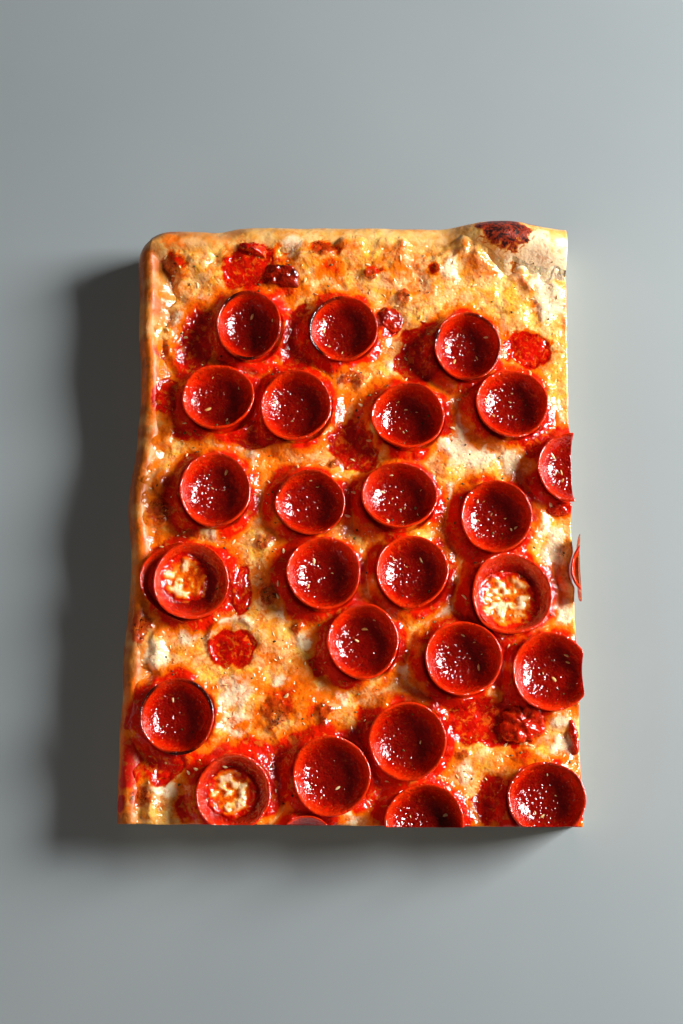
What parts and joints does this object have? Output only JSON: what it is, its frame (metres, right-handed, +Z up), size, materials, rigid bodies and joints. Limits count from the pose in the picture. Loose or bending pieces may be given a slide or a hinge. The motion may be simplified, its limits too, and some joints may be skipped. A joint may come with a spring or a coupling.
{
  "type": "pepperoni pizza slice",
  "caption": "Rectangular corner slice of thick pan pizza: puffed crust rim, melted cheese, patches of tomato sauce and pepperoni curled into cups.",
  "frame": {"origin": "on the table under the middle of the slice, within 1.3 mm", "axes": "+X to the cut side on the right, +Y to the baked crust at the back, along the slice's length, +Z up"},
  "size_m": [0.1533, 0.2115, 0.0308],
  "materials": {
    "dough": "matte",
    "cheese": "oily gloss",
    "sauce": "wet gloss",
    "pepperoni": "oily gloss"
  },
  "bodies": {
    "root": {"dough": "dough", "cheese": "cheese", "cheese_fill_13": "cheese", "cheese_fill_16": "cheese", "cheese_fill_24": "cheese", "sauce_01": "sauce", "sauce_02": "sauce", "sauce_03": "sauce", "sauce_04": "sauce", "sauce_05": "sauce", "sauce_06": "sauce", "sauce_07": "sauce", "sauce_08": "sauce", "sauce_09": "sauce", "sauce_10": "sauce", "sauce_11": "sauce", "sauce_12": "sauce", "sauce_13": "sauce", "sauce_14": "sauce", "sauce_15": "sauce", "tomato_chunk": "sauce", "pepperoni_01": "pepperoni", "pepperoni_02": "pepperoni", "pepperoni_03": "pepperoni", "pepperoni_04": "pepperoni", "pepperoni_05": "pepperoni", "pepperoni_06": "pepperoni", "pepperoni_07": "pepperoni", "pepperoni_08": "pepperoni", "pepperoni_09": "pepperoni", "pepperoni_10": "pepperoni", "pepperoni_11": "pepperoni", "pepperoni_12": "pepperoni", "pepperoni_13": "pepperoni", "pepperoni_14": "pepperoni", "pepperoni_15": "pepperoni", "pepperoni_16": "pepperoni", "pepperoni_17": "pepperoni", "pepperoni_18": "pepperoni", "pepperoni_19": "pepperoni", "pepperoni_20": "pepperoni", "pepperoni_21": "pepperoni", "pepperoni_22": "pepperoni", "pepperoni_23": "pepperoni", "pepperoni_24": "pepperoni", "pepperoni_25": "pepperoni", "pepperoni_26": "pepperoni", "pepperoni_27": "pepperoni", "pepperoni_28": "pepperoni", "pepperoni_29": "pepperoni", "pepperoni_30": "pepperoni", "pepperoni_31": "pepperoni", "pepperoni_32": "pepperoni", "pepperoni_33": "pepperoni"}
  },
  "joints": []
}
